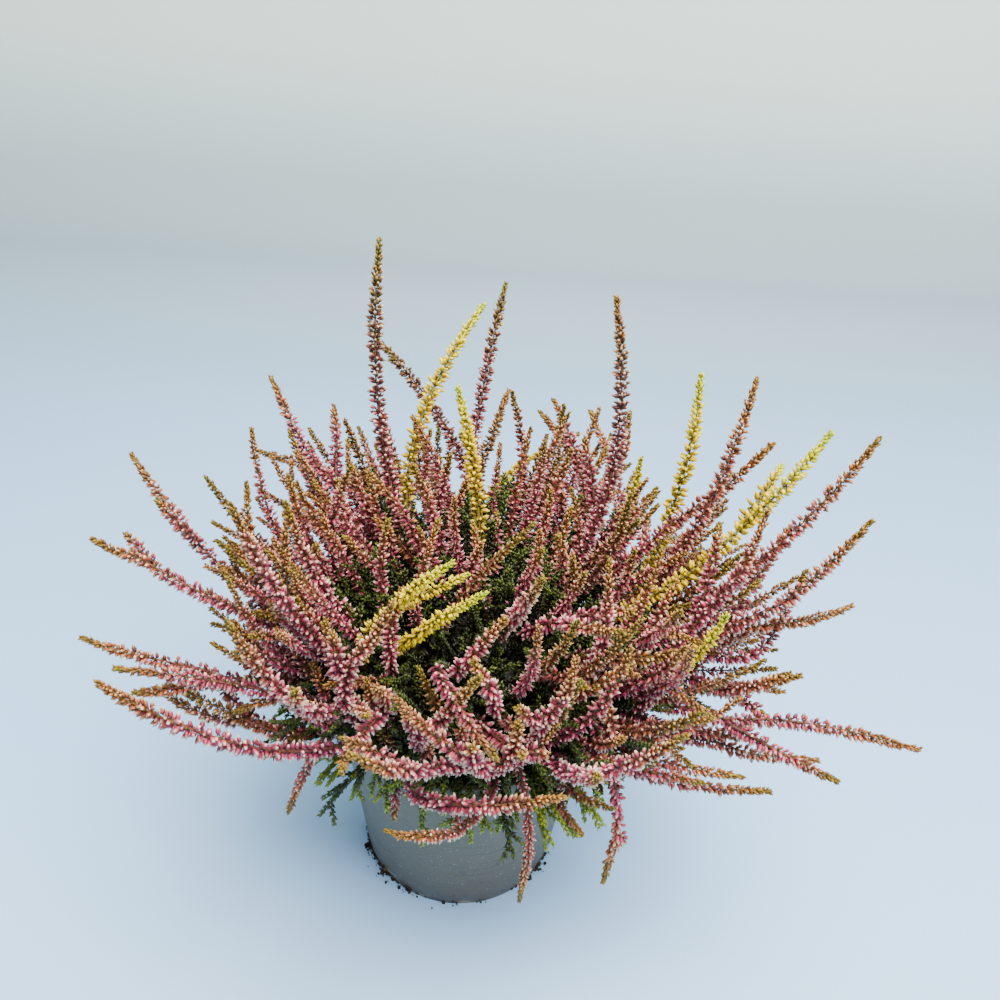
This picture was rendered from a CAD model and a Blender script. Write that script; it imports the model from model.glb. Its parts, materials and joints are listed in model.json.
import heapq
import json
import math

import bpy
import numpy as np
from mathutils import Matrix, Vector, noise

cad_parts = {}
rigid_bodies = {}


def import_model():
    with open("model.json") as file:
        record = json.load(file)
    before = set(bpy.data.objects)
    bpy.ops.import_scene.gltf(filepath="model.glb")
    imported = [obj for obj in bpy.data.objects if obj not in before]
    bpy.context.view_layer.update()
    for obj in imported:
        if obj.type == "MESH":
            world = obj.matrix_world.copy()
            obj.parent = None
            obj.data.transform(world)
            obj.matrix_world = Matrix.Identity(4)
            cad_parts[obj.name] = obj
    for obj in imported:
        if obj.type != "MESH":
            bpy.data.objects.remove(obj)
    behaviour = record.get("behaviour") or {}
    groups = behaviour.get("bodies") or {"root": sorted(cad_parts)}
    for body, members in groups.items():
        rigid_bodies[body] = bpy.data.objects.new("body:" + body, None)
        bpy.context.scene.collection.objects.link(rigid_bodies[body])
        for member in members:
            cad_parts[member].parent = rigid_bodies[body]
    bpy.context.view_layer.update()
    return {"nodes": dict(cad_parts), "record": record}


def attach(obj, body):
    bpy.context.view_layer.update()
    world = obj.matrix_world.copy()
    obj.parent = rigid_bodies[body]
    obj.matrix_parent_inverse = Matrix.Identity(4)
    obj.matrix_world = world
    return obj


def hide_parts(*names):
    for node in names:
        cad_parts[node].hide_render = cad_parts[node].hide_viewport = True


mm = 0.001
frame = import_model()
nodes = frame["nodes"]
crown = np.array((0, 0, 0.1))    # where the stems branch, just over the rim
camera = {"place": (0.0094, -0.3043, 0.4139), "pitch": 35.74, "roll": 3.75, "lens": 36, "sensor": 36}
print("frame loaded:", len(nodes), "nodes")


# Colours and materials

def toLinear(hexColour):
    # An sRGB hex value as linear light
    parts = [int(hexColour[i:i + 2], 16) / 255 for i in (1, 3, 5)]
    return [c / 12.92 if c < 0.04045 else ((c + 0.055) / 1.055) ** 2.4 for c in parts] + [1]


def setInputs(tree, node, inputs):
    # Inputs linked to a node's first output in use or to a socket, or else set; hex strings are colours
    for name, value in inputs.items():
        if isinstance(value, bpy.types.Node):
            value = next(output for output in value.outputs if output.enabled)
        if isinstance(value, bpy.types.NodeSocket):
            tree.links.new(value, node.inputs[name])
        else:
            node.inputs[name].default_value = toLinear(value) if isinstance(value, str) else value


def setStops(ramp, stops):
    while len(ramp.elements) < len(stops):
        ramp.elements.new(0.5)
    for element, (place, colour) in zip(ramp.elements, stops):
        element.position = place
        element.color = toLinear(colour) if isinstance(colour, str) else (colour,) * 3 + (1,)


def addNode(tree, kind, settings=None, inputs=None):
    # One node with its settings and inputs. A ramp's stops are a setting, and a colour Mix takes its
    # share at input 0 and its two colours at 6 and 7.
    node = tree.nodes.new("ShaderNode" + kind)
    for name, value in (settings or {}).items():
        if name == "stops":
            setStops(node.color_ramp, value)
        else:
            setattr(node, name, value)
    setInputs(tree, node, inputs or {})
    return node


def newMaterial(name, roughness, ior=1.45):
    material = bpy.data.materials.new(name)
    material.use_nodes = True
    tree = material.node_tree
    shader = tree.nodes["Principled BSDF"]
    setInputs(tree, shader, {"Roughness": roughness, "IOR": ior})
    return material, tree, shader


def brighten(tree, colour, low, high):
    # Each bud, leaf or crumb a little darker or lighter than the next
    tint = addNode(tree, "Attribute", {"attribute_name": "tint"}).outputs["Fac"]
    value = addNode(tree, "MapRange", inputs={"Value": tint, "To Min": low, "To Max": high})
    return addNode(tree, "HueSaturation", inputs={"Color": colour, "Value": value})


# Closed calluna buds: waxy sepals, deeply coloured at the foot and pale at the point, so that a
# spike looks speckled. "foot" and "point" run from the base of the spike to its tip, and "tints"
# are how dark and how light single buds are.
budKinds = {
    "pink": {
        "foot": [(0, "#A2325A"), (0.4, "#C4566C"), (0.62, "#B05C48"), (0.8, "#8C5C22"), (1, "#847414")],
        "point": [(0, "#FFDACE"), (0.45, "#FFE9D0"), (0.74, "#FFDE9A"), (0.88, "#D4A43A"), (1, "#A89024")],
        "tints": (0.34, 1.1),
    },
    "peach": {
        "foot": [(0, "#983450"), (0.3, "#B85858"), (0.58, "#B2643C"), (0.8, "#9A6620"), (1, "#867414")],
        "point": [(0, "#FFDCCA"), (0.45, "#FFEACE"), (0.74, "#FCDA98"), (0.88, "#CC9C38"), (1, "#A48C24")],
        "tints": (0.34, 1.1),
    },
    "olive": {
        "foot": [(0, "#7E2E40"), (0.3, "#864A2C"), (0.6, "#825C1C"), (1, "#726A16")],
        "point": [(0, "#FBDCC0"), (0.5, "#FAE2A8"), (0.76, "#C4A440"), (1, "#8C841E")],
        "tints": (0.34, 1.1),
    },
    "yellow": {
        "foot": [(0, "#A88A28"), (0.3, "#D2B400"), (0.7, "#E2D000"), (1, "#A0B000")],
        "point": [(0, "#FFE870"), (0.3, "#FAE00C"), (0.58, "#F4DE00"), (1, "#CED800")],
        "tints": (0.86, 1.2),
    },
    "dusky": {
        "foot": [(0, "#9A3A58"), (0.35, "#884444"), (0.6, "#784E2A"), (0.8, "#745E1C"), (1, "#706E14")],
        "point": [(0, "#FFD2C4"), (0.4, "#FFE0C4"), (0.7, "#F4D498"), (0.84, "#B09438"), (1, "#8C8824")],
        "tints": (0.34, 1.1),
    },
}


def budMaterial(kind):
    material, tree, shader = newMaterial("waxyHeatherBud" + kind.capitalize(), 0.5, 1.42)
    colours = budKinds[kind]
    along, budTip, turned = [addNode(tree, "Attribute", {"attribute_name": value}).outputs["Fac"]
                             for value in ("along", "budTip", "turned")]
    foot = addNode(tree, "ValToRGB", {"stops": colours["foot"]}, {"Fac": along})
    point = addNode(tree, "ValToRGB", {"stops": colours["point"]}, {"Fac": along})
    reach = addNode(tree, "MapRange", inputs={"Value": budTip, "From Min": 0.62, "From Max": 0.92})
    colour = addNode(tree, "Mix", {"data_type": "RGBA"}, {0: reach, 6: foot, 7: point})
    if kind != "yellow":    # the young tips of some spikes are rust red, the rest olive
        some = addNode(tree, "ValToRGB", {"stops": [(0.5, 0.0), (0.9, 0.68)]}, {"Fac": turned})
        outer = addNode(tree, "ValToRGB", {"stops": [(0.5, 0.0), (0.8, 1.0)]}, {"Fac": along})
        rusty = addNode(tree, "Math", {"operation": "MULTIPLY"}, {0: some, 1: outer})
        rust = addNode(tree, "ValToRGB", {"stops": [(0.45, "#984A24"), (0.9, "#E6AC66")]}, {"Fac": budTip})
        colour = addNode(tree, "Mix", {"data_type": "RGBA"}, {0: rusty, 6: colour, 7: rust})
    setInputs(tree, shader, {"Base Color": brighten(tree, colour, *colours["tints"]),
                             "Subsurface Weight": 0.1, "Subsurface Scale": 1 * mm})
    return material


def leafMaterial():
    # Heather scale leaves: waxy green, near black where little light reaches the old wood
    material, tree, shader = newMaterial("waxyScaleLeaf", 0.48)
    along, turned = [addNode(tree, "Attribute", {"attribute_name": value}).outputs["Fac"]
                     for value in ("along", "turned")]
    green = addNode(tree, "ValToRGB", {"stops": [
        (0, "#0C0D04"), (0.3, "#24270A"), (0.6, "#2B380C"), (0.85, "#4A5A15"), (1, "#96A62A")]},
        {"Fac": along})
    autumn = addNode(tree, "ValToRGB", {"stops": [
        (0, "#3A2A12"), (0.6, "#6E5A20"), (1, "#94842A")]}, {"Fac": along})
    share = addNode(tree, "MapRange", inputs={"Value": turned, "From Min": 0.2, "From Max": 0.9})
    colour = addNode(tree, "Mix", {"data_type": "RGBA"}, {0: share, 6: green, 7: autumn})
    setInputs(tree, shader, {"Base Color": brighten(tree, colour, 0.5, 1.1)})
    return material


def barkMaterial(name, stops):
    # Young heather stems are downy and coloured, old wood grey-brown with fine cracks, 0.7 mm apart
    material, tree, shader = newMaterial(name, 0.7)
    along = addNode(tree, "Attribute", {"attribute_name": "along"}).outputs["Fac"]
    colour = addNode(tree, "ValToRGB", {"stops": stops}, {"Fac": along})
    place = addNode(tree, "TexCoord").outputs["Object"]
    cracks = addNode(tree, "TexNoise", inputs={"Vector": place, "Scale": 1400.0, "Detail": 2.0})
    colour = addNode(tree, "Mix", {"data_type": "RGBA", "blend_type": "MULTIPLY"},
                     {0: 0.35, 6: colour, 7: cracks.outputs["Color"]})
    bump = addNode(tree, "Bump", inputs={"Height": cracks, "Distance": 0.2 * mm})
    setInputs(tree, shader, {"Base Color": colour, "Normal": bump})
    return material


# Meshes made of many copies

def deselectAll():
    for thing in bpy.context.scene.objects:
        thing.select_set(False)


def editAll():
    # The object that is being modelled, in edit mode with all of it selected
    bpy.ops.object.mode_set(mode="EDIT")
    bpy.ops.mesh.select_all(action="SELECT")


def endEdit():
    # All faces turned outwards, and out of edit mode
    bpy.ops.mesh.select_all(action="SELECT")
    bpy.ops.mesh.normals_make_consistent(inside=False)
    bpy.ops.object.mode_set(mode="OBJECT")


def takeTemplate():
    # The mesh that is being modelled, as corner places and triangles, and its object is removed
    thing = bpy.context.object
    editAll()
    bpy.ops.mesh.quads_convert_to_tris()
    bpy.ops.object.mode_set(mode="OBJECT")
    places = np.array([v.co for v in thing.data.vertices])
    triangles = np.array([list(p.vertices) for p in thing.data.polygons])
    bpy.data.objects.remove(thing)
    return places, triangles


# Shares of a bud's length, of which "width" is its half width
bud = {
    "sides": 4, "rings": 3, "width": 0.228, "low": 0.42, "high": 0.74, "shoulder": 0.74,
    "smallSides": 4, "smallWider": 1.06, "axis": 0.01,
}


def budTemplate():
    # A bud one unit long, with its foot at the origin and its point at +Z: a short stalk that
    # widens into the four sepals that close round a heather flower
    deselectAll()
    bpy.ops.mesh.primitive_uv_sphere_add(segments=bud["sides"], ring_count=bud["rings"], radius=0.5)
    thing = bpy.context.object
    for vert in thing.data.vertices:
        height = vert.co.z
        around = Vector((vert.co.x, vert.co.y))
        if around.length > bud["axis"]:
            around = around.normalized() * bud["width"] * (1 if height < 0 else bud["shoulder"])
            vert.co = (around.x, around.y, bud["low"] if height < 0 else bud["high"])
        else:
            vert.co = (0, 0, 0 if height < 0 else 1)
    return takeTemplate()


def smallBudTemplate():
    # The same drop with fewer faces, for the spikes that fill the bush and for the young tips
    deselectAll()
    length = 1 - bud["low"]
    bpy.ops.mesh.primitive_cone_add(vertices=bud["smallSides"], radius2=0, depth=length,
                                    radius1=bud["smallWider"] * bud["width"],
                                    end_fill_type="TRIFAN", location=(0, 0, 1 - length / 2))
    bpy.ops.object.transform_apply(location=True)
    for vert in bpy.context.object.data.vertices:
        if Vector((vert.co.x, vert.co.y)).length < bud["axis"] and vert.co.z < bud["high"]:
            vert.co.z = 0
    return takeTemplate()


leaf = {
    "sides": 3, "keel": 0.24, "width": 1.75, "length": 2.4 * mm, "sizes": (0.8, 1.15),
    "pairSpacing": 1.2 * mm, "leastPairs": 2, "offStem": 0.3 * mm,
    "spread": 40, "spreadStray": 5, "turnStray": 0.2,
}


def leafTemplate():
    # A scale leaf one unit long: a slim keel with a flat inner side, pointed
    deselectAll()
    bpy.ops.mesh.primitive_cone_add(vertices=leaf["sides"], radius1=leaf["keel"], radius2=0, depth=1,
                                    location=(0, 0, 0.5))
    bpy.ops.object.transform_apply(location=True)
    return takeTemplate()


def unit(rows):
    # Rows made one long; the small number keeps a row of noughts as it is
    return rows / (np.linalg.norm(rows, axis=-1, keepdims=True) + 1e-12)


def ringPlace(radius, turn, level):
    return radius * math.cos(turn), radius * math.sin(turn), level


def outward(turn, first, second):
    # Directions at angles round an axis, from two directions across it
    return np.cos(turn)[:, None] * first + np.sin(turn)[:, None] * second


def stamp(template, feet, axes, sizes, widths, spin, values):
    # Copies of a template: one at each foot, along its axis, as one block of mesh
    places, triangles = template
    # Any direction that isn't the axis gives the two directions across it
    helper = np.where(np.abs(axes[:, 2:3]) < 0.9, np.array([[0, 0, 1.0]]), np.array([[1.0, 0, 0]]))
    first = unit(np.cross(axes, helper))
    second = np.cross(axes, first)
    across = outward(spin, first, second)
    other = np.cross(axes, across)
    size = sizes[:, None, None]
    wide = (sizes * widths)[:, None, None]
    corner = places[None, :, :]
    verts = (feet[:, None, :] + wide * corner[..., 0:1] * across[:, None, :]
             + wide * corner[..., 1:2] * other[:, None, :] + size * corner[..., 2:3] * axes[:, None, :])
    count = len(feet)
    faces = triangles[None] + (np.arange(count) * len(places))[:, None, None]
    block = {"verts": verts.reshape(-1, 3), "faces": faces.reshape(-1, 3)}
    for name, value in values.items():
        value = np.broadcast_to(value, (count,)) if np.ndim(value) < 1 else value
        block[name] = np.repeat(value, len(places))
    block["budTip"] = np.tile(places[:, 2], count)
    return block


def tube(line, radii, sides, values):
    # A closed round stem along a line
    heads = unit(np.gradient(line, axis=0))
    across = unit(np.cross(heads[0], (0.3, 0.5, 0.8)))
    rings = []
    for place, head, radius in zip(line, heads, radii):
        across = unit(across - head * np.dot(across, head))
        other = np.cross(head, across)
        turns = 2 * math.pi * np.arange(sides) / sides
        rings.append(place + radius * outward(turns, across, other))
    verts = np.concatenate(rings + [line[:1], line[-1:]])
    faces = []
    count = len(line)
    for ring in range(count - 1):
        for side in range(sides):
            a, b = ring * sides + side, ring * sides + (side + 1) % sides
            faces += [(a, b, b + sides), (a, b + sides, a + sides)]
    foot, top = count * sides, count * sides + 1
    last = (count - 1) * sides
    for side in range(sides):
        after = (side + 1) % sides
        faces += [(after, side, foot), (last + side, last + after, top)]
    block = {"verts": verts, "faces": np.array(faces), "budTip": np.zeros(len(verts))}
    for name, value in values.items():
        value = np.broadcast_to(value, (count,))
        block[name] = np.concatenate([np.repeat(value, sides), value[:1], value[-1:]])
    return block


def makePiece(name, blocks, materials):
    # One mesh from (block, material number) pairs, with its values kept as point attributes
    verts = np.concatenate([block["verts"] for block, _ in blocks])
    starts = np.cumsum([0] + [len(block["verts"]) for block, _ in blocks[:-1]])
    faces = np.concatenate([block["faces"] + start for (block, _), start in zip(blocks, starts)])
    slots = np.concatenate([np.full(len(block["faces"]), slot) for block, slot in blocks])
    mesh = bpy.data.meshes.new(name)
    mesh.vertices.add(len(verts))
    mesh.vertices.foreach_set("co", verts.astype(np.float32).ravel())
    mesh.loops.add(faces.size)
    mesh.loops.foreach_set("vertex_index", faces.astype(np.int32).ravel())
    mesh.polygons.add(len(faces))
    mesh.polygons.foreach_set("loop_start", np.arange(len(faces), dtype=np.int32) * 3)
    mesh.polygons.foreach_set("material_index", slots.astype(np.int32))
    mesh.polygons.foreach_set("use_smooth", np.ones(len(faces), bool))
    mesh.update(calc_edges=True)
    for value in ("along", "budTip", "tint", "turned"):
        made = mesh.attributes.new(value, "FLOAT", "POINT")
        parts = [block.get(value, np.zeros(len(block["verts"]))) for block, _ in blocks]
        made.data.foreach_set("value", np.concatenate(parts).astype(np.float32))
    for material in materials:
        mesh.materials.append(material)
    piece = bpy.data.objects.new(name, mesh)
    bpy.context.scene.collection.objects.link(piece)
    return piece


# The stems' lines, read from the frame's own nodes

def lengthAlong(line):
    return np.concatenate([[0], np.cumsum(np.linalg.norm(np.diff(line, axis=0), axis=1))])


def evenly(line, spacing):
    along = lengthAlong(line)
    count = max(3, int(round(along[-1] / spacing)) + 1)
    at = np.linspace(0, along[-1], count)
    return np.stack([np.interp(at, along, line[:, axis]) for axis in range(3)], axis=1)


def smooth(line, times):
    # Each place moves halfway to the middle of its neighbours, and the ends stay
    for _ in range(times):
        line[1:-1] = 0.5 * line[1:-1] + 0.25 * (line[:-2] + line[2:])
    return line


def bentLine(start, middle, end, count):
    # A line from start to end that bends towards middle
    t = np.linspace(0, 1, count)[:, None]
    return (1 - t) ** 2 * start + 2 * t * (1 - t) * middle + t ** 2 * end


# How the columns of the nodes are read: "level" and "near" bound one slice of a column, two tips
# are "tipsApart", and a fork starts where it is "forkGap" off the main line
reading = {
    "level": 6 * mm, "near": 11 * mm, "step": 3 * mm, "soft": 5 * mm, "tipsApart": 14 * mm,
    "forkGap": 2.5 * mm, "leastFork": 5 * mm, "leastReach": 0.5,
    "shootTip": 66 * mm, "shootFoot": 57 * mm, "heartEdge": 60 * mm, "shootStep": 4 * mm,
}


def welded(node):
    # A node's corner places once each, and which of them are joined
    mesh = nodes[node].data
    places = np.array([v.co for v in mesh.vertices])
    verts, same = np.unique(np.round(places, 6), axis=0, return_inverse=True)
    same = same.ravel()
    near = [set() for _ in verts]
    for face in mesh.polygons:
        corners = [int(same[v]) for v in face.vertices]
        for a, b in zip(corners, corners[1:] + corners[:1]):
            if a != b:
                near[a].add(b)
                near[b].add(a)
    return verts, [sorted(n) for n in near]


def walkFrom(verts, near, start):
    # The shortest way over the surface from one corner to all others
    far = np.full(len(verts), np.inf)
    before = np.full(len(verts), -1)
    far[start] = 0
    queue = [(0.0, start)]
    while queue:
        distance, here = heapq.heappop(queue)
        if distance > far[here]:
            continue
        for there in near[here]:
            way = distance + float(np.linalg.norm(verts[here] - verts[there]))
            if way < far[there]:
                far[there] = way
                before[there] = here
                heapq.heappush(queue, (way, there))
    return far, before


def stemLine(verts, far, before, tip):
    # The middle of the column between its foot and one of its tips
    way = [tip]
    while before[way[-1]] >= 0:
        way.append(int(before[way[-1]]))
    way = way[::-1]
    middles = []
    for here in way:
        level = np.abs(far - far[here]) < reading["level"]
        close = np.linalg.norm(verts - verts[here], axis=1) < reading["near"]
        middles.append(verts[level & close].mean(axis=0))
    middles = np.array(middles)
    levels = np.linspace(0, far[tip], max(5, int(far[tip] / reading["step"])))
    weights = np.exp(-((far[way][None, :] - levels[:, None]) / reading["soft"]) ** 2)
    line = weights @ middles / weights.sum(axis=1, keepdims=True)
    line[0], line[-1] = verts[way[0]], verts[tip]
    return smooth(line, 1)


def spikeLines(node):
    # The main line of a spike, and the lines that fork from it
    verts, near = welded(node)
    foot = int(np.argmin(np.linalg.norm(verts - crown, axis=1)))
    far, before = walkFrom(verts, near, foot)
    far[~np.isfinite(far)] = 0
    peaks = [i for i in range(len(verts)) if far[i] > reading["leastReach"] * far.max()
             and all(far[i] > far[j] for j in near[i])]
    peaks.sort(key=lambda i: -far[i])
    tips = []
    for peak in peaks:
        if all(np.linalg.norm(verts[peak] - verts[other]) > reading["tipsApart"] for other in tips):
            tips.append(peak)
    lines = [stemLine(verts, far, before, tip) for tip in tips]
    found = [lines[0]]
    for line in lines[1:]:
        gap = np.linalg.norm(line[:, None] - lines[0][None], axis=2).min(axis=1)
        split = int(np.argmax(gap > reading["forkGap"]))
        line = line[max(0, split - 1):]
        if lengthAlong(line)[-1] > reading["leastFork"]:
            found.append(line)
    return found


def shootLines():
    # The leafy shoots of the bush, from their tips back to its heart
    verts, near = welded("leafy_bush")
    reach = np.linalg.norm(verts - crown, axis=1)
    tips = [i for i in range(len(verts)) if reach[i] > reading["shootTip"]
            and all(reach[i] > reach[j] for j in near[i])]
    lines = []
    for tip in tips:
        way = [tip]
        while reach[way[-1]] > reading["shootFoot"]:
            lower = min(near[way[-1]], key=lambda j: reach[j])
            if reach[lower] >= reach[way[-1]]:
                break
            way.append(lower)
        if reach[way[-1]] < reading["heartEdge"] and len(way) > 3:
            lines.append(smooth(evenly(verts[way[::-1]], reading["shootStep"]), 3))
    return lines


kindOf = {entry["node"]: entry["material_slot"].split("_")[-1] for entry in frame["record"]["subparts"]}
spikeNodes = sorted(name for name in nodes if name.startswith("flower"))
spikes = {name: spikeLines(name) for name in spikeNodes}
shoots = shootLines()
print("lines read:", sum(len(lines) for lines in spikes.values()), "spikes,", len(shoots), "shoots")


# Leaves and buds along a line

def along(line, levels):
    # Places, headings and two crosswise directions at levels along a line
    lengths = lengthAlong(line)
    places = np.stack([np.interp(levels, lengths, line[:, axis]) for axis in range(3)], axis=1)
    heads = unit(np.gradient(line, axis=0))
    headings = unit(np.stack([np.interp(levels, lengths, heads[:, axis]) for axis in range(3)], axis=1))
    first = np.zeros_like(headings)
    side = unit(np.cross(headings[0], (0.31, 0.52, 0.79)))
    for i, heading in enumerate(headings):
        side = unit(side - heading * np.dot(side, heading))
        first[i] = side
    return places, headings, first, np.cross(headings, first)


def leafBlock(line, start, end, rng, size, shade, turned=0.0, spacing=1.0):
    # Scale leaves in four ranks, each pair a quarter turn from the last, smaller at the tip. Their
    # shade runs from 0, old and dark, to 1, young and light, and turned is how autumnal they are.
    pairs = max(leaf["leastPairs"], int((end - start) / (leaf["pairSpacing"] * spacing)))
    levels = np.repeat(start + (end - start) * (np.arange(pairs) + 0.5) / pairs, 2)
    places, headings, first, second = along(line, levels)
    count = 2 * pairs
    number = np.arange(count)
    turn = (number // 2) * math.pi / 2 + (number % 2) * math.pi + rng.normal(0, leaf["turnStray"], count)
    radial = outward(turn, first, second)
    share = (levels - start) / (end - start)
    spread = leaf["spread"] * (1.15 - 0.6 * share ** 3) + rng.normal(0, leaf["spreadStray"], count)
    spread = np.radians(spread)
    axes = unit(np.cos(spread)[:, None] * headings + np.sin(spread)[:, None] * radial)
    sizes = leaf["length"] * size * (1 - 0.35 * share ** 4) * rng.uniform(*leaf["sizes"], count)
    values = {"along": shade[0] + (shade[1] - shade[0]) * share, "tint": rng.uniform(0, 1, count),
              "turned": turned}
    return stamp(leafShape, places + radial * leaf["offStem"], axes, sizes, leaf["width"], turn, values)


spike = {
    "budLength": 3.5 * mm, "sizes": (0.76, 1.16), "youngSmaller": 0.48, "smallFrom": 0.4,
    "spacing": 0.325 * mm, "whorl": 4.1 * mm, "gather": 0.55, "tipLength": 36 * mm,
    "spreadLow": 72, "spreadHigh": 22, "uprightCloser": 10, "spreadStray": 12, "axisStray": 0.1,
    "stalk": 0.4 * mm, "nod": 0.6, "droop": 0.5, "offStem": 0.2 * mm,
    "leafyShare": 0.16, "leafyMost": 22 * mm, "leavesOverlap": 6 * mm, "bare": 0.5 * mm,
    "namedShade": (0.25, 0.75), "fillShade": (0.2, 0.88),
    "stemRadius": 0.75 * mm, "stemSides": 5, "stemStep": 2.5 * mm,
}
goldenAngle = math.pi * (3 - math.sqrt(5))    # each bud's turn from the last, as buds grow


def youngShare(levels, start, total, size):
    # 0 where a spike's buds are fully grown, rising to 1 over its tip
    tip = min(spike["tipLength"] * size, 0.6 * (total - start))
    return np.clip((levels - (total - tip)) / tip, 0, 1) ** 1.7


def budLevels(start, total, size, sparse):
    # Buds stand in whorls, so their levels are gathered a little around each whorl
    levels = []
    level = start
    while level < total - spike["bare"]:
        levels.append(level)
        young = youngShare(level, start, total, size)
        level += spike["spacing"] * size * sparse * (1.05 - 0.5 * young)
    levels = np.array(levels)
    turn = 2 * math.pi * levels / (spike["whorl"] * size)
    loose = 1 - youngShare(levels, start, total, 1.6 * size)    # the tip's buds aren't gathered
    return levels + spike["gather"] * loose * spike["whorl"] * size / (2 * math.pi) * np.sin(turn)


def budBlock(line, start, rng, shape, size, shift, sparse, upright):
    # Buds round the stem, which nod from short stalks and are small and close at the tip. They
    # stand sparse times as far apart as usual, and shift moves their colours along the spike.
    total = lengthAlong(line)[-1]
    levels = budLevels(start, total, size, sparse)
    count = len(levels)
    places, headings, first, second = along(line, levels)
    turn = np.arange(count) * goldenAngle + rng.normal(0, 0.25, count)
    radial = outward(turn, first, second)
    down = np.array((0, 0, -1.0)) - headings * -headings[:, 2:3]
    young = youngShare(levels, start, total, size)
    radial = unit(radial + spike["droop"] * (1 - young[:, None]) * down)
    low = spike["spreadLow"] - spike["uprightCloser"] * upright
    spread = low + (spike["spreadHigh"] - low) * young
    spread = np.radians(spread + rng.normal(0, spike["spreadStray"], count))
    axes = np.cos(spread)[:, None] * headings + np.sin(spread)[:, None] * radial
    axes[:, 2] -= spike["nod"] * (1 - young) * (1 - 0.75 * upright) * rng.uniform(0.6, 1.3, count)
    axes = unit(axes + rng.normal(0, spike["axisStray"], (count, 3)))
    stalk = spike["stalk"] * size * (1 - 0.8 * young) * (1 - 0.35 * upright) * rng.uniform(0.3, 1.25, count)
    feet = places + radial * (stalk + spike["offStem"])[:, None]
    sizes = spike["budLength"] * size * (1 - spike["youngSmaller"] * young)
    sizes = sizes * rng.uniform(*spike["sizes"], count)
    share = 0.7 * (levels - start) / (total - start) + 0.3 * young + shift * (1 - young)
    values = {"along": np.clip(share + rng.normal(0, 0.05, count), 0, 1),
              "tint": rng.uniform(0, 1, count), "turned": rng.uniform(0, 1)}
    small = young > spike["smallFrom"]
    blocks = []
    for form, some in ((shape, ~small), (smallBudShape, small)):
        if some.any():
            picked = {name: value[some] if np.ndim(value) else value for name, value in values.items()}
            blocks.append((stamp(form, feet[some], axes[some], sizes[some], 1 + 0.35 * young[some],
                                 turn[some], picked), 0))
    return blocks


def spikeBlocks(line, rng, shape, size, forked=False, leafyShare=None, sparse=1.0):
    # One spike: its stem, scale leaves below, buds above, and a few leaves among the buds
    total = lengthAlong(line)[-1]
    line = evenly(line, spike["stemStep"])
    if leafyShare:
        leafy = leafyShare * total
    elif forked:
        leafy = spike["bare"]
    else:
        leafy = min(spike["leafyMost"], spike["bare"] + spike["leafyShare"] * total)
    share = lengthAlong(line) / total
    upright = max(0, (line[-1] - line[0])[2] / total)
    radii = spike["stemRadius"] * size * (1.1 - 0.75 * share)
    blocks = [(tube(line, radii, spike["stemSides"], {"along": 0.15 + 0.85 * share}), 1)]
    if not forked:
        shade = spike["fillShade"] if leafyShare else spike["namedShade"]
        blocks.append((leafBlock(line, spike["bare"], leafy + spike["leavesOverlap"], rng, 1.1, shade), 2))
    blocks.append((leafBlock(line, leafy, total, rng, 0.85, (0.3, 0.8), 0.6, 2.3), 2))
    blocks += budBlock(line, leafy, rng, shape, size, rng.uniform(-0.1, 0.1), sparse, upright)
    return blocks


def countTriangles(blocks):
    return sum(len(block["faces"]) for block, _ in blocks)


budShape = budTemplate()
smallBudShape = smallBudTemplate()
leafShape = leafTemplate()
budMaterials = {kind: budMaterial(kind) for kind in budKinds}
leaves = leafMaterial()
bark = barkMaterial("redBrownHeatherBark", [
    (0, "#3B2A20"), (0.25, "#5E3230"), (0.7, "#7A3B36"), (1, "#7E6226")])
paleBark = barkMaterial("yellowHeatherBark", [(0, "#4E4226"), (0.3, "#7E7024"), (1, "#948E1C")])
greenBark = barkMaterial("greenHeatherBark", [(0, "#3A3018"), (0.3, "#4C4A20"), (1, "#66742C")])


def partMaterials(kind):
    return [budMaterials[kind], paleBark if kind == "yellow" else bark, leaves]


# The size of the buds on the spikes where it isn't the usual one
spikeSizes = {"flower_spike_26": 0.72, "flower_spike_31": 0.76, "flower_spike_27": 0.85,
              "flower_spray_39": 0.86, "flower_spike_40": 0.84, "flower_spike_03": 1.18,
              "flower_spike_10": 1.18, "flower_spray_13": 1.15, "flower_spike_38": 1.15}
usualSize = 1.04
duskySpikes = {"flower_spike_01", "flower_spike_02", "flower_spike_04", "flower_spike_08"}    # tall, browner

spikeTriangles = 0
for number, name in enumerate(spikeNodes):
    rng = np.random.default_rng(100 + number)
    kind = kindOf[name]
    size = spikeSizes.get(name, usualSize)
    blocks = []
    for order, line in enumerate(spikes[name]):
        blocks += spikeBlocks(line, rng, budShape, size, forked=order > 0)
    spikeTriangles += countTriangles(blocks)
    parts = name.split("_")
    looks = "dusky" if name in duskySpikes else kind
    piece = makePiece("flower" + parts[1].capitalize() + parts[2], blocks, partMaterials(looks))
    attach(piece, "root")
    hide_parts(name)
print("flower spikes built:", spikeTriangles, "triangles")


# The leafy bush: its heart, the spikes that fill it and what they keep clear of, its outline,
# the short shoots between the spikes, and the shoots that hang over the pot's rim

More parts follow.
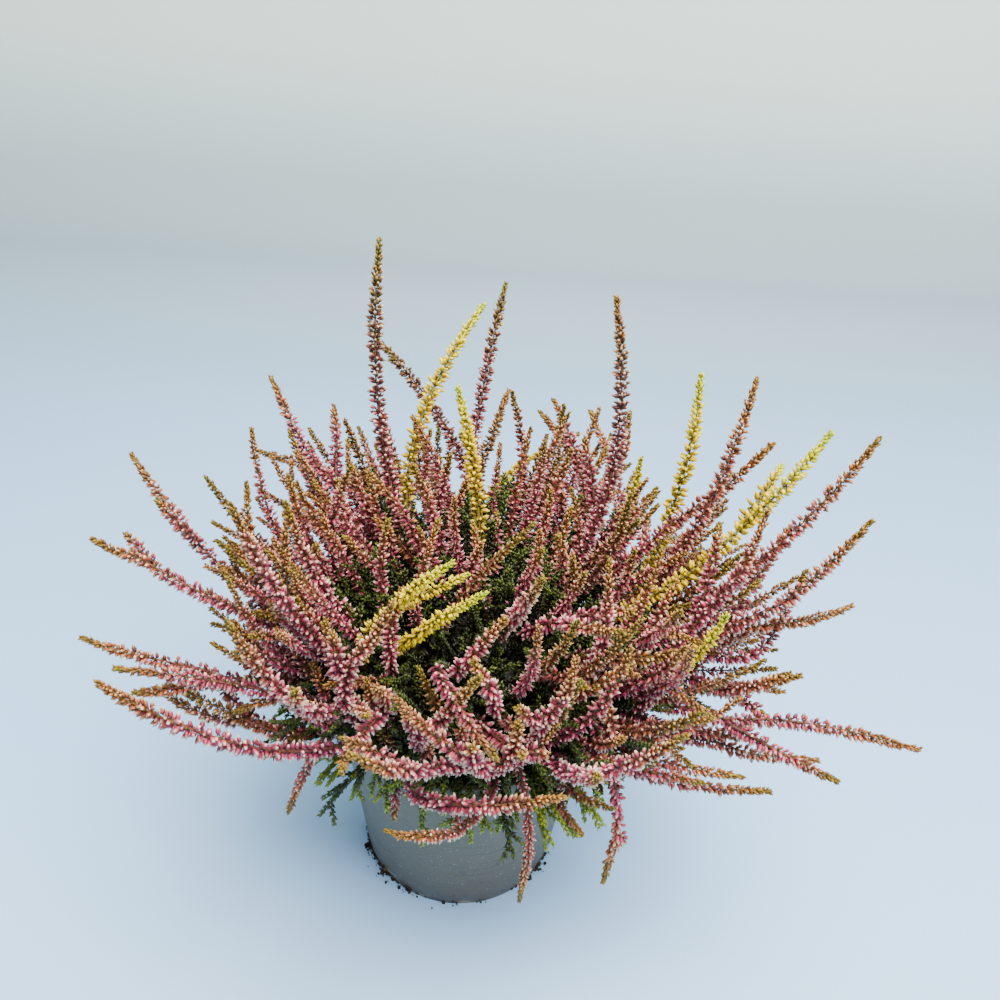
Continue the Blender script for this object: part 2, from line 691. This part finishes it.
bush = {
    "innerRadius": 47 * mm, "innerHeight": 110 * mm, "innerDepth": 30 * mm, "heartBottom": 90 * mm,
    "innerLeaves": 3600, "innerLeaf": 5.5 * mm,
    "fillSpikes": 322, "fullSides": 0.19, "fillLong": 96 * mm, "fillShort": 58 * mm, "leastSpike": 24 * mm,
    "tries": 8, "sparse": 1.5, "sizes": (0.84, 1.04), "leafyShare": 0.28, "yellowFrom": 150 * mm,
    "placeStep": 3 * mm, "nearby": 60 * mm, "faceWidth": 58 * mm, "faceDepth": 6 * mm, "faceKept": 2,
    "coverAngle": 0.009, "coverCost": 0.4 * mm, "coverDepth": 2 * mm, "shownStep": 4 * mm,
    "lowest": -0.08, "reach": 110 * mm, "moreRight": 12 * mm, "moreBack": 24 * mm, "broad": 14 * mm,
    "frontFrom": 40 * mm, "frontEdge": 66 * mm, "frontHeight": 106 * mm, "frontSlope": 1.33,
    "sideHeight": 101 * mm, "besideFrom": 46 * mm, "besideLower": 17 * mm,
    "extraShoots": 145, "extraLow": 26 * mm, "extraHigh": 54 * mm, "leastShoot": 16 * mm,
    "rimShoots": 94, "rimRadius": 57.1 * mm, "rimTop": 97 * mm, "rimSpikes": 0.3,
    "skirtShoots": 30, "skirt": (-66, -14), "skirtSpikes": 0.4, "rimSpikeSize": 0.8, "rimLeafyShare": 0.45,
    "shootRadius": 0.42 * mm, "shootSides": 4, "twigRise": 0.9, "twigOut": 0.8, "twigBare": 0.3 * mm,
}
heartMiddle = np.array((0, 0, bush["innerHeight"]))
heartShape = np.array((bush["innerRadius"], bush["innerRadius"], bush["innerDepth"]))
# Spikes of the bush's face, by the places in millimetres that each passes from foot to tip
faceSpikes = [
    ("pink", (13, -69, 155), (11, -71, 167), (7, -71, 175), (4, -71, 181)),
    ("pink", (-9, -60, 168), (-4, -74, 169), (2, -80, 167), (7, -85, 160), (14, -88, 154)),
    ("peach", (15, -78, 136), (19, -81, 148), (21, -81, 157), (20, -80, 164)),
    ("pink", (-26, -48, 150), (-26, -51, 166), (-25, -47, 177), (-22, -44, 187)),
    ("peach", (56, -52, 120), (55, -54, 138), (52, -53, 147), (48, -52, 153)),
    ("peach", (37, -45, 137), (43, -51, 149), (51, -51, 155), (60, -48, 161)),
    ("pink", (68, -36, 126), (71, -39, 139), (76, -39, 148), (82, -36, 157)),
    ("olive", (40, -32, 149), (53, -40, 155), (68, -41, 158), (79, -41, 163)),
    ("pink", (67, -22, 134), (70, -23, 151), (73, -19, 163), (78, -14, 173)),
    ("pink", (-3, -55, 157), (3, -60, 172), (8, -59, 179), (14, -57, 188)),
    ("peach", (-24, -53, 137), (-26, -61, 150), (-28, -71, 166)),
    ("peach", (-41, -52, 138), (-35, -63, 146), (-30, -77, 158)),
    ("pink", (-55, -36, 116), (-77, -37, 124), (-98, -40, 131), (-117, -42, 135), (-130, -44, 138)),
    ("olive", (-63, -40, 99), (-82, -41, 109), (-100, -39, 118), (-115, -37, 124)),
    ("peach", (-53, -30, 117), (-66, -33, 120), (-77, -37, 119), (-88, -42, 116)),
    ("olive", (-62, -38, 103), (-66, -45, 103), (-72, -50, 101)),
    ("pink", (45, -47, 112), (61, -54, 114), (78, -57, 114), (93, -58, 112)),
    ("peach", (54, -45, 115), (73, -51, 116), (92, -54, 114), (108, -55, 113)),
]


def faceLine(places):
    # A smooth line from the heart of the bush through the places, and the share below the first
    places = np.array(places) * mm
    line = np.concatenate([[crown + 0.45 * (places[0] - crown)], places])
    below = np.linalg.norm(line[1] - line[0]) / lengthAlong(line)[-1]
    return smooth(evenly(line, 2 * mm), 10), below


def placesOf(line):
    # Where a spike takes up room, but for its foot
    return evenly(line, bush["placeStep"])[3:]


# What the filling spikes keep clear of: the spikes that are there, and what the camera sees of the
# outer parts of those with a node of their own
faceLines = [(kind,) + faceLine(places) for kind, *places in faceSpikes]
takenPlaces = [placesOf(line) for lines in spikes.values() for line in lines]
takenPlaces += [placesOf(line) for kind, line, below in faceLines]
outerParts = []
for name, lines in spikes.items():
    most = 0.8 if kindOf[name] == "yellow" else 0.5
    for line in lines:
        line = evenly(line, bush["shownStep"])
        outerParts.append(line[int(len(line) * (1 - most)):])
shownPlaces = np.concatenate(outerParts)
viewer = np.array(camera["place"])


def room(line):
    # How far a line stays from the spikes that are there
    taken = np.concatenate(takenPlaces)
    taken = taken[np.linalg.norm(taken - line.mean(axis=0), axis=1) < bush["nearby"]]
    if not len(taken):
        return 1.0    # metres, which is more than any
    return float(np.linalg.norm(line[4:, None] - taken[None], axis=2).min())


def covered(line):
    # How many of the shown places a line would hide from the camera
    near = np.linalg.norm(line - viewer, axis=1)
    together = unit(line - viewer) @ unit(shownPlaces - viewer).T > math.cos(bush["coverAngle"])
    before = near[:, None] < np.linalg.norm(shownPlaces - viewer, axis=1) - bush["coverDepth"]
    return np.count_nonzero(np.any(together & before, axis=0))


def outLine(share, turn, length, rise, rng, stray=0.28):
    # A stem that leaves the heart of the bush and bends up or down
    climb = math.asin(min(0.999, bush["lowest"] + (1 - bush["lowest"]) * share))
    out = np.array(ringPlace(math.cos(climb), turn, math.sin(climb)))
    start = heartMiddle + out * heartShape
    way = unit(out + np.array((0, 0, rise)) + rng.uniform(-stray, stray, 3))
    middle = start + unit(out + 0.4 * way + rng.uniform(-stray, stray, 3)) * 0.5 * length
    return bentLine(start, middle, start + way * length, 15)


def growsOut(line):
    # Past the bush's outline, or so low in front that the face of the pot would be hidden
    tip = line[-1]
    away = math.hypot(tip[0], tip[1])
    turn = math.atan2(tip[1], tip[0])
    most = (bush["reach"] + bush["moreRight"] * math.cos(turn) + bush["moreBack"] * math.sin(turn)
            + bush["broad"] * math.cos(2 * turn))
    low = bush["frontHeight"] + bush["frontSlope"] * (-line[:, 1] - bush["frontEdge"])
    low = low - bush["besideLower"] * (np.abs(line[:, 0]) > bush["besideFrom"])
    inFront = np.any((line[:, 1] < -bush["frontFrom"]) & (line[:, 2] < low))
    sunk = tip[2] < bush["sideHeight"] and away > bush["frontEdge"]
    return bool(inFront or sunk or away > most)


def fillLine(number, rng):
    # Of a few lines, the one that is farthest from the others and hides the least
    share = ((number + 0.5) / bush["fillSpikes"]) ** 1.5
    best, widest = None, -1.0
    for _ in range(bush["tries"]):
        length = bush["fillLong"] + (bush["fillShort"] - bush["fillLong"]) * share
        length *= rng.uniform(0.7, 1.15)
        turn = number * goldenAngle + rng.normal(0, 0.3)
        turn -= bush["fullSides"] * math.sin(2 * turn)
        rise = rng.uniform(-0.1, 0.7) if share < 0.5 else rng.uniform(-0.2, 0.4)
        rise = rise if share > 0.2 else rng.uniform(-0.3, 0.5)
        stray = (0.25, 0.45, 0.75)[number % 3]
        line = outLine(share, turn, length, rise, rng, stray)
        while growsOut(line) and length > bush["leastSpike"]:
            length *= 0.88
            rise += 0.1
            line = outLine(share, turn, length, rise, rng, stray)
        gap = room(line) - bush["coverCost"] * covered(line)
        if gap > widest and length > bush["leastSpike"]:
            best, widest = line, gap
    return best


def rimTurns(rng):
    # Even round the rim, and then more of them in the skirt at the front right
    for number in range(bush["rimShoots"]):
        yield (number + rng.uniform(-0.35, 0.35)) * 2 * math.pi / bush["rimShoots"], False
    for number in range(bush["skirtShoots"]):
        yield math.radians(rng.uniform(*bush["skirt"])), True


def rimShoot(turn, skirt, rng):
    # A leafy shoot that leans over the rim and hangs down outside the pot
    out = np.array(ringPlace(1, turn, 0))
    over, top = bush["rimRadius"], bush["rimTop"]
    drop = rng.uniform(2, 17) * mm if rng.uniform() < 0.8 else rng.uniform(17, 28) * mm
    start = out * (over - rng.uniform(8, 14) * mm) + np.array((0, 0, top + rng.uniform(0, 6) * mm))
    bend = out * (over + rng.uniform(1, 4) * mm) + np.array((0, 0, top + rng.uniform(6, 12) * mm))
    sideways = np.cross(out, (0, 0, 1)) * rng.uniform(-7, 7) * mm
    beside = skirt or abs(out[0]) > 0.6 and out[1] < 0.2
    wider = rng.uniform(3, 18) * mm * (1.3 if skirt else beside)    # it stands out at the sides
    bend = bend + out * 0.5 * wider
    drop = drop * 0.35 + 0.08 * wider if skirt else drop * (1 - 0.7 * beside) - 0.15 * wider
    end = out * (over + wider + rng.uniform(4.5, 9) * mm) + np.array((0, 0, top - drop)) + sideways
    return bentLine(start, bend, end, 9)


def extraShoot(number, rng):
    # A short leafy shoot between the spikes
    share = ((number + 0.5) / bush["extraShoots"]) ** 1.25
    length = rng.uniform(bush["extraLow"], bush["extraHigh"]) * (1.15 - 0.6 * share)
    line = outLine(share, number * goldenAngle + 1.3, length, rng.uniform(-0.3, 0.5), rng)
    while growsOut(line) and length > bush["leastShoot"]:
        length *= 0.85
        line = outLine(share, number * goldenAngle + 1.3, length, rng.uniform(0, 0.6), rng)
    return line


def leafyShoot(line, rng, size, sides, shade=(0.12, 0.87)):
    # A main shoot with short side shoots, all clad in scale leaves
    total = lengthAlong(line)[-1]
    share = lengthAlong(line) / total
    lean = rng.uniform(0, 0.25)
    radii = bush["shootRadius"] * (1.2 - 0.8 * share)
    blocks = [(tube(line, radii, bush["shootSides"], {"along": 0.2 + 0.5 * share}), 1)]
    blocks.append((leafBlock(line, spike["bare"], total, rng, size, shade, lean), 2))
    for side in range(sides):
        level = total * (0.3 + 0.5 * side / max(1, sides - 1) + rng.uniform(-0.04, 0.04))
        places, headings, first, second = along(line, np.array([level]))
        turn = rng.uniform(0, 2 * math.pi)
        radial = math.cos(turn) * first[0] + math.sin(turn) * second[0]
        length = total * rng.uniform(0.18, 0.3)
        tip = places[0] + unit(headings[0] * bush["twigRise"] + radial * bush["twigOut"]) * length
        twig = np.linspace(places[0], tip, 4)
        low = shade[0] + 0.7 * (shade[1] - shade[0]) * level / total
        twigShade = (low, shade[1] + 0.03)
        blocks.append((leafBlock(twig, bush["twigBare"], length, rng, 0.85 * size, twigShade, lean), 2))
    return blocks


def innerLeaves(rng):
    # Old dark leaves on a lumpy heart, which fill the gaps so that no light shows through
    count = bush["innerLeaves"]
    turn = rng.uniform(0, 2 * math.pi, count)
    climb = np.arcsin(rng.uniform(-0.35, 1, count))
    out = np.stack([np.cos(turn) * np.cos(climb), np.sin(turn) * np.cos(climb), np.sin(climb)], axis=1)
    depth = rng.uniform(0.82, 1.12, count)
    feet = heartMiddle + out * heartShape * depth[:, None]
    axes = unit(out + rng.normal(0, 0.6, (count, 3)))
    values = {"along": np.clip((depth - 0.82) * 1.1, 0, 0.3), "tint": rng.uniform(0, 1, count),
              "turned": 0.15}
    return stamp(leafShape, feet, axes, np.full(count, bush["innerLeaf"]), 1.0, turn, values)


def heartBlock():
    # The dense heart, a closed lumpy ball flattened to the bush's form
    deselectAll()
    bpy.ops.mesh.primitive_ico_sphere_add(subdivisions=4, radius=1)
    places, triangles = takeTemplate()
    lumps = np.array([noise.noise(Vector(p) * 7) for p in places])
    places = heartMiddle + places * (0.86 + 0.12 * lumps)[:, None] * heartShape
    places[:, 2] = np.maximum(places[:, 2], bush["heartBottom"])
    zeros = np.zeros(len(places))
    return {"verts": places, "faces": triangles, "budTip": zeros, "along": zeros + 0.02, "tint": zeros + 0.3}


rng = np.random.default_rng(7)
leafyMaterials = [budMaterials["pink"], greenBark, leaves]
pieces = [("bushHeart", [(heartBlock(), 2), (innerLeaves(rng), 2)], leafyMaterials, "foliage")]
leafy = []
for line in shoots:
    leafy += leafyShoot(line, rng, 1.05, 5)
pieces.append(("leafyShoots", leafy, leafyMaterials, "foliage"))

# The spikes that fill the bush, by kind and side, each kind as often as the photograph has it
kinds = {"Left": ("pink", "peach", "pink", "pink", "olive", "pink", "pink"),
         "Right": ("pink", "peach", "pink", "olive", "peach", "pink", "yellow")}
filling = {}
faceRng = np.random.default_rng(31)
for kind, line, below in faceLines:
    side = "Left" if line[-1][0] < 0 else "Right"
    filling.setdefault((kind, side), []).extend(
        spikeBlocks(line, faceRng, budShape, faceRng.uniform(0.92, 1.06), False, below))
leafy = []
for number in range(bush["fillSpikes"]):
    line = fillLine(number, rng)
    if line is None:
        continue
    middle = line.mean(axis=0)
    facing = middle[1] < bush["faceDepth"] and abs(middle[0]) < bush["faceWidth"]
    if facing and number % 5 >= bush["faceKept"]:
        leafy += leafyShoot(line[:7], rng, 1.0, 3)    # the spikes of the face stand apart
        continue
    takenPlaces.append(placesOf(line))
    side = "Left" if line[-1][0] < 0 else "Right"
    kind = kinds[side][rng.integers(0, len(kinds[side]))]
    if kind == "yellow" and not (rng.uniform() < 0.4 and line[-1][2] > bush["yellowFrom"]):
        kind = "olive"
    filling.setdefault((kind, side), []).extend(
        spikeBlocks(line, rng, smallBudShape, rng.uniform(*bush["sizes"]), False, bush["leafyShare"],
                    bush["sparse"]))
pieces += [("fillingSpikes" + kind.capitalize() + side, blocks, partMaterials(kind), "flowers_" + kind)
           for (kind, side), blocks in sorted(filling.items())]

for number in range(bush["extraShoots"]):
    leafy += leafyShoot(extraShoot(number, rng), rng, 1.0, 3)
pieces.append(("fillingShoots", leafy, leafyMaterials, "foliage"))

fringe = []
for turn, skirt in rimTurns(rng):
    line = rimShoot(turn, skirt, rng)
    if rng.uniform() < bush["skirtSpikes" if skirt else "rimSpikes"]:
        fringe += spikeBlocks(line, rng, smallBudShape, bush["rimSpikeSize"], False, bush["rimLeafyShare"])
    else:
        fringe += leafyShoot(line, rng, 1.05, 3, (0.72, 1.0))
pieces.append(("rimFringe", fringe, [budMaterials["peach"], greenBark, leaves], "foliage"))
for name, blocks, materials, slot in pieces:
    print(name, countTriangles(blocks), "triangles")
    piece = makePiece(name, blocks, materials)
    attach(piece, "root")
    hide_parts("leafy_bush")
print("leafy bush built")


# The pot: a thin injection-moulded nursery pot of recycled polypropylene

pot = {
    "sides": 96, "height": 97 * mm, "baseRadius": 44 * mm, "topRadius": 55.5 * mm, "wall": 1.3 * mm,
    "floor": 1.8 * mm, "rimHeight": 7 * mm, "rimDepth": 1.6 * mm, "holes": 6, "holeRadius": 4 * mm,
    "holeRing": 30 * mm, "holeSides": 24, "round": 0.6 * mm, "taper": 0.1 * mm,
}


def potProfile():
    # Radius and height of each ring: up the outside, over the rim and down the inside
    base, top, wall = pot["baseRadius"], pot["topRadius"], pot["wall"]
    soft, height = pot["round"], pot["height"]

    def outside(level):
        return base + (top - base) * level / height
    under = height - pot["rimHeight"]
    rim = outside(height) + pot["rimDepth"]
    rings = [(base - soft, 0), (base - 0.3 * soft, 0.3 * soft), (base, soft)]
    rings += [(outside(height * part / 8), height * part / 8) for part in range(1, 8)]
    rings += [(outside(under), under), (rim - soft, under + pot["taper"]), (rim, under + soft)]
    rings += [(rim, height - soft), (rim - 0.3 * soft, height - 0.3 * soft), (rim - soft, height)]
    rings += [(top - wall + 0.3 * soft, height), (top - wall, height - 0.5 * soft)]
    rings += [(outside(height * part / 4) - wall, height * part / 4) for part in (3, 2, 1)]
    rings += [(base - wall + pot["taper"], pot["floor"] + soft), (base - wall - soft, pot["floor"])]
    return rings


def makePot():
    # The base is extruded ring by ring into the wall, the rim and the inside, and the holes are cut
    rings = potProfile()
    deselectAll()
    bpy.ops.mesh.primitive_circle_add(vertices=pot["sides"], radius=rings[0][0], fill_type="NGON")
    made = bpy.context.object
    editAll()
    for (radius, level), (wider, higher) in zip(rings, rings[1:]):
        bpy.ops.mesh.extrude_region_move(TRANSFORM_OT_translate={"value": (0, 0, higher - level)})
        bpy.ops.transform.resize(value=(wider / radius, wider / radius, 1), center_override=(0, 0, higher))
    endEdit()
    for hole in range(pot["holes"]):
        place = ringPlace(pot["holeRing"], 2 * math.pi * hole / pot["holes"], 0)
        deselectAll()
        bpy.ops.mesh.primitive_cylinder_add(vertices=pot["holeSides"], radius=pot["holeRadius"],
                                            depth=10 * mm, location=place)
        cutter = bpy.context.object
        deselectAll()
        made.select_set(True)
        bpy.context.view_layer.objects.active = made
        modifier = made.modifiers.new("drainHole", "BOOLEAN")
        modifier.object = cutter
        modifier.operation = "DIFFERENCE"
        bpy.ops.object.modifier_apply(modifier=modifier.name)
        bpy.data.objects.remove(cutter)
    bpy.ops.object.shade_smooth_by_angle(angle=math.radians(50))
    made.name = "nurseryPot"
    made.data.materials.clear()
    made.data.materials.append(potMaterial())
    return made


def potMaterial():
    # Moulded recycled polypropylene: slate grey and satin. Its clouds are some 36 mm wide and its
    # light flecks 1 mm, drawn as coarse as they need to show. Rubbed lines of 1 mm and scratches
    # run round it, and dust and soil cling to its foot.
    material, tree, shader = newMaterial("mouldedPolypropylene", 0.46, 1.49)
    place = addNode(tree, "TexCoord").outputs["Object"]
    height = addNode(tree, "SeparateXYZ", inputs={"Vector": place}).outputs["Z"]
    cloud = addNode(tree, "TexNoise", inputs={"Vector": place, "Scale": 28.0, "Detail": 4.0})
    colour = addNode(tree, "ValToRGB", {"stops": [(0.3, "#564B3A"), (0.7, "#645944")]}, {"Fac": cloud})
    low = addNode(tree, "MapRange", inputs={"Value": height, "From Min": 90 * mm, "From Max": 0.0})
    fleck = addNode(tree, "TexNoise", inputs={"Vector": place, "Scale": 900.0, "Detail": 2.0})
    pale = addNode(tree, "ValToRGB", {"stops": [(0.66, 0.0), (0.72, 0.5)]}, {"Fac": fleck})

    squash = addNode(tree, "Mapping", inputs={"Vector": place, "Scale": (14.0, 14.0, 900.0)})
    rubs = addNode(tree, "TexNoise", inputs={"Vector": squash, "Scale": 1.0, "Detail": 3.0})
    rubbed = addNode(tree, "ValToRGB", {"stops": [(0.55, 0.0), (0.7, 0.4)]}, {"Fac": rubs})
    slant = addNode(tree, "Mapping", inputs={
        "Vector": place, "Scale": (26.0, 26.0, 150.0), "Rotation": (0.06, -0.1, 0)})
    scratch = addNode(tree, "TexNoise", inputs={"Vector": slant, "Scale": 1.0, "Detail": 1.0})
    line = addNode(tree, "ValToRGB", {"stops": [(0.485, 0.0), (0.5, 0.75), (0.515, 0.0)]}, {"Fac": scratch})
    where = addNode(tree, "ValToRGB", {"stops": [(0.5, 0.0), (0.6, 1.0)]}, {"Fac": cloud})
    scratched = addNode(tree, "Mix", {"data_type": "RGBA", "blend_type": "MULTIPLY"},
                        {0: 1.0, 6: line, 7: where})

    # Specks of soil 5 mm apart, more of them near the foot
    dots = addNode(tree, "TexVoronoi", inputs={"Vector": place, "Scale": 210.0, "Randomness": 1.0})
    patch = addNode(tree, "TexNoise", inputs={"Vector": place, "Scale": 45.0, "Detail": 3.0})
    near = addNode(tree, "MapRange", inputs={
        "Value": height, "From Min": 0.0, "From Max": 30 * mm, "To Min": 0.3, "To Max": 0.12})
    size = addNode(tree, "Math", {"operation": "MULTIPLY"}, {0: near, 1: patch})
    soiled = addNode(tree, "Math", {"operation": "LESS_THAN"}, {0: dots.outputs["Distance"], 1: size})

    # Dried soil stands highest on the left front of the foot, and its edge is ragged
    side = addNode(tree, "VectorMath", {"operation": "DOT_PRODUCT"}, {0: place, 1: (-17.0, -15.0, 0)})
    band = addNode(tree, "MapRange", inputs={
        "Value": side, "From Min": 0.35, "From Max": 0.95, "To Min": 1.6 * mm, "To Max": 10.5 * mm})
    grit = addNode(tree, "TexNoise", inputs={"Vector": place, "Scale": 170.0, "Detail": 4.0})
    ragged = addNode(tree, "Math", {"operation": "MULTIPLY"}, {0: band, 1: grit})
    above = addNode(tree, "Math", {"operation": "SUBTRACT"}, {0: ragged, 1: height})
    crusted = addNode(tree, "MapRange", inputs={
        "Value": above, "From Min": -0.4 * mm, "From Max": 0.6 * mm, "To Max": 0.9})
    earth = addNode(tree, "ValToRGB", {"stops": [(0.4, "#2C251D"), (0.5, "#6B5C4A"), (0.62, "#8F7F69")]},
                    {"Fac": grit})

    # Each layer over the last: dust, flecks, rubs, scratches, specks and the crust of soil
    for share, paint in ((low, "#584D3E"), (pale, "#9CA8AC"), (rubbed, "#4A4842"), (scratched, "#3A3733"),
                         (soiled, "#2B251E"), (crusted, earth)):
        colour = addNode(tree, "Mix", {"data_type": "RGBA"}, {0: share, 6: colour, 7: paint})
    rough = addNode(tree, "MapRange", inputs={
        "Value": cloud, "From Min": 0.3, "From Max": 0.7, "To Min": 0.4, "To Max": 0.55})
    bump = addNode(tree, "Bump", inputs={"Height": fleck, "Distance": 0.06 * mm})
    setInputs(tree, shader, {"Base Color": colour, "Roughness": rough, "Normal": bump})
    return material


soil = {
    "radius": 53.5 * mm, "top": 85 * mm, "depth": 12 * mm, "edge": 1.5 * mm,
    "lump": 1.6 * mm, "lumpScale": 160, "fineScale": 420,
    "crumbs": 420, "crumb": 1.4 * mm, "clinging": 460, "clingingCrumb": 0.75 * mm,
}


def crumbTemplate():
    # A crumb of peat about one unit across, knocked out of round
    rng = np.random.default_rng(5)
    deselectAll()
    bpy.ops.mesh.primitive_ico_sphere_add(subdivisions=1, radius=0.5)
    thing = bpy.context.object
    for vert in thing.data.vertices:
        vert.co *= rng.uniform(0.8, 1.3)
    return takeTemplate()


def soilMaterial():
    # Moist peat with bark fibre: nearly black, with a few pale fibres and grains of 2 mm
    material, tree, shader = newMaterial("moistPeat", 0.92)
    place = addNode(tree, "TexCoord").outputs["Object"]
    grain = addNode(tree, "TexNoise", inputs={"Vector": place, "Scale": 500.0, "Detail": 5.0})
    colour = addNode(tree, "ValToRGB", {"stops": [
        (0.3, "#17110C"), (0.52, "#2E231A"), (0.66, "#4A3A2A"), (0.74, "#7A6A52")]}, {"Fac": grain})
    bump = addNode(tree, "Bump", inputs={"Height": grain, "Distance": 0.6 * mm})
    setInputs(tree, shader, {"Base Color": brighten(tree, colour, 0.7, 1.5), "Normal": bump})
    return material


def soilBody():
    # The root ball fills the pot up to a lumpy surface
    deselectAll()
    bpy.ops.mesh.primitive_circle_add(vertices=48, radius=soil["radius"], fill_type="TRIFAN",
                                      location=(0, 0, soil["top"]))
    bpy.ops.object.transform_apply(location=True)
    editAll()
    bpy.ops.mesh.subdivide(number_cuts=7)
    bpy.ops.object.mode_set(mode="OBJECT")
    thing = bpy.context.object
    for vert in thing.data.vertices:
        lump = noise.noise(vert.co * soil["lumpScale"]) + 0.6 * noise.noise(vert.co * soil["fineScale"])
        vert.co.z += soil["lump"] * lump
    editAll()
    bpy.ops.mesh.extrude_region_move(TRANSFORM_OT_translate={"value": (0, 0, -soil["depth"])})
    bpy.ops.transform.resize(value=(0.97, 0.97, 0.05), center_override=(0, 0, soil["top"] - soil["depth"]))
    endEdit()
    return takeTemplate()


def crumbs(count, rng, spread, size):
    # Crumbs at places that spread gives, each turned and sized at random
    feet = np.array([spread() for _ in range(count)])
    axes = unit(rng.normal(0, 1, (count, 3)))
    sizes = size * np.exp(rng.normal(0, 0.55, count))
    values = {"tint": rng.uniform(0, 1, count)}
    return stamp(crumbShape, feet, axes, sizes, 1.0, rng.uniform(0, 6, count), values)


def onSoil():
    radius = (soil["radius"] - soil["edge"]) * math.sqrt(rng.uniform())
    return ringPlace(radius, rng.uniform(0, 2 * math.pi), soil["top"] + rng.uniform(-0.4, 1) * mm)


def onPotFoot():
    # Two drifts of soil, at the left front and the right front of the pot's foot, and a few crumbs beside
    middle, width = ((-2.5, 0.28), (-0.55, 0.12), (-1.7, 1.4))[rng.choice(3, p=(0.66, 0.2, 0.14))]
    turn = middle + rng.normal(0, width)
    turn = turn + 0.06 * math.sin(17 * turn)
    level = abs(rng.normal(0, 1.3)) * mm + 0.25 * mm
    radius = pot["baseRadius"] + 0.12 * level + rng.exponential(0.9) * mm * (level < 0.9 * mm)
    return ringPlace(radius, turn, level)


crumbShape = crumbTemplate()
piece = makePot()
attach(piece, "root")
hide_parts("pot")

rng = np.random.default_rng(21)
places, triangles = soilBody()
body = {"verts": places, "faces": triangles, "budTip": np.zeros(len(places)),
        "tint": np.full(len(places), 0.3)}
peat = soilMaterial()
piece = makePiece("rootBall", [(body, 0), (crumbs(soil["crumbs"], rng, onSoil, soil["crumb"]), 0)], [peat])
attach(piece, "root")
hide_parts("soil")
clinging = crumbs(soil["clinging"], rng, onPotFoot, soil["clingingCrumb"])
clinging["verts"][:, 2] = np.maximum(clinging["verts"][:, 2], 0.05 * mm)    # none goes under the floor
piece = makePiece("clingingSoil", [(clinging, 0)], [peat])
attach(piece, "root")
print("pot and soil built")


# Floor, light and camera

def makeCamera():
    data = bpy.data.cameras.new("camera")
    data.lens = camera["lens"]
    data.sensor_width = camera["sensor"]
    data.clip_start = 0.01
    made = bpy.data.objects.new("camera", data)
    bpy.context.scene.collection.objects.link(made)
    turn = Matrix.Rotation(math.radians(90 - camera["pitch"]), 4, "X")
    made.matrix_world = (Matrix.Translation(camera["place"]) @ turn
                         @ Matrix.Rotation(math.radians(camera["roll"]), 4, "Z"))
    bpy.context.scene.camera = made


stage = {"wallAt": 0.45, "size": 4.0, "bend": 0.12, "bendSteps": 8, "wall": 2.5}


def makeStage():
    # A matt painted board: pale floor that bends up into the wall behind
    material, tree, shader = newMaterial("paintedBoard", 0.6)
    place = addNode(tree, "TexCoord").outputs["Object"]
    parts = addNode(tree, "SeparateXYZ", inputs={"Vector": place})
    back = addNode(tree, "Math", inputs={0: parts.outputs["Y"], 1: parts.outputs["Z"]})
    share = addNode(tree, "MapRange", inputs={"Value": back, "From Min": -0.3, "From Max": 0.8})
    colour = addNode(tree, "ValToRGB", {"stops": [
        (0, "#B6E0FF"), (0.3, "#9ECCFF"), (0.6, "#92B8E2"), (0.82, "#8AA4B0"), (1, "#DCE8DC")]},
        {"Fac": share})
    setInputs(tree, shader, {"Base Color": colour})
    deselectAll()
    bpy.ops.mesh.primitive_plane_add(size=stage["size"], location=(0, stage["wallAt"] - stage["size"] / 2, 0))
    floor = bpy.context.object
    floor.name = "paleFloor"
    bpy.ops.object.transform_apply(location=True)
    bpy.ops.object.mode_set(mode="EDIT")
    bpy.ops.mesh.select_mode(type="EDGE")
    bpy.ops.mesh.select_all(action="DESELECT")
    bpy.ops.object.mode_set(mode="OBJECT")
    for edge in floor.data.edges:
        edge.select = all(floor.data.vertices[v].co.y > stage["wallAt"] - 0.01 for v in edge.vertices)
    bpy.ops.object.mode_set(mode="EDIT")
    steps = stage["bendSteps"]
    for step in range(steps):
        angle = math.pi / 2 * (step + 0.5) / steps
        length = stage["bend"] * math.pi / 2 / steps
        bpy.ops.mesh.extrude_region_move(TRANSFORM_OT_translate={
            "value": (0, length * math.cos(angle), length * math.sin(angle))})
    bpy.ops.mesh.extrude_region_move(TRANSFORM_OT_translate={"value": (0, 0, stage["wall"])})
    bpy.ops.object.mode_set(mode="OBJECT")
    floor.data.shade_smooth()
    floor.data.materials.append(material)


lights = {
    "windowLight": {"place": (0.21, -0.13, 1.4), "size": 1.1, "watts": 67, "colour": "#FFF6EA"},
    "fillLight": {"place": (0.9, -0.7, 1.0), "size": 0.8, "watts": 9, "colour": "#F2F6FF"},
}
roomLight = {"colour": "#DCE6F0", "strength": 0.46}


def makeLights():
    world = bpy.data.worlds.new("softRoom")
    world.use_nodes = True
    setInputs(world.node_tree, world.node_tree.nodes["Background"],
              {"Color": roomLight["colour"], "Strength": roomLight["strength"]})
    bpy.context.scene.world = world
    for name, light in lights.items():
        data = bpy.data.lights.new(name, "AREA")
        data.size = light["size"]
        data.energy = light["watts"]
        data.color = toLinear(light["colour"])[:3]
        made = bpy.data.objects.new(name, data)
        made.location = light["place"]
        towards = Vector((0, 0, 0.12)) - Vector(light["place"])    # the middle of the plant
        made.rotation_euler = towards.to_track_quat("-Z", "Y").to_euler()
        bpy.context.scene.collection.objects.link(made)


makeCamera()
makeStage()
makeLights()
print("floor, light and camera set")
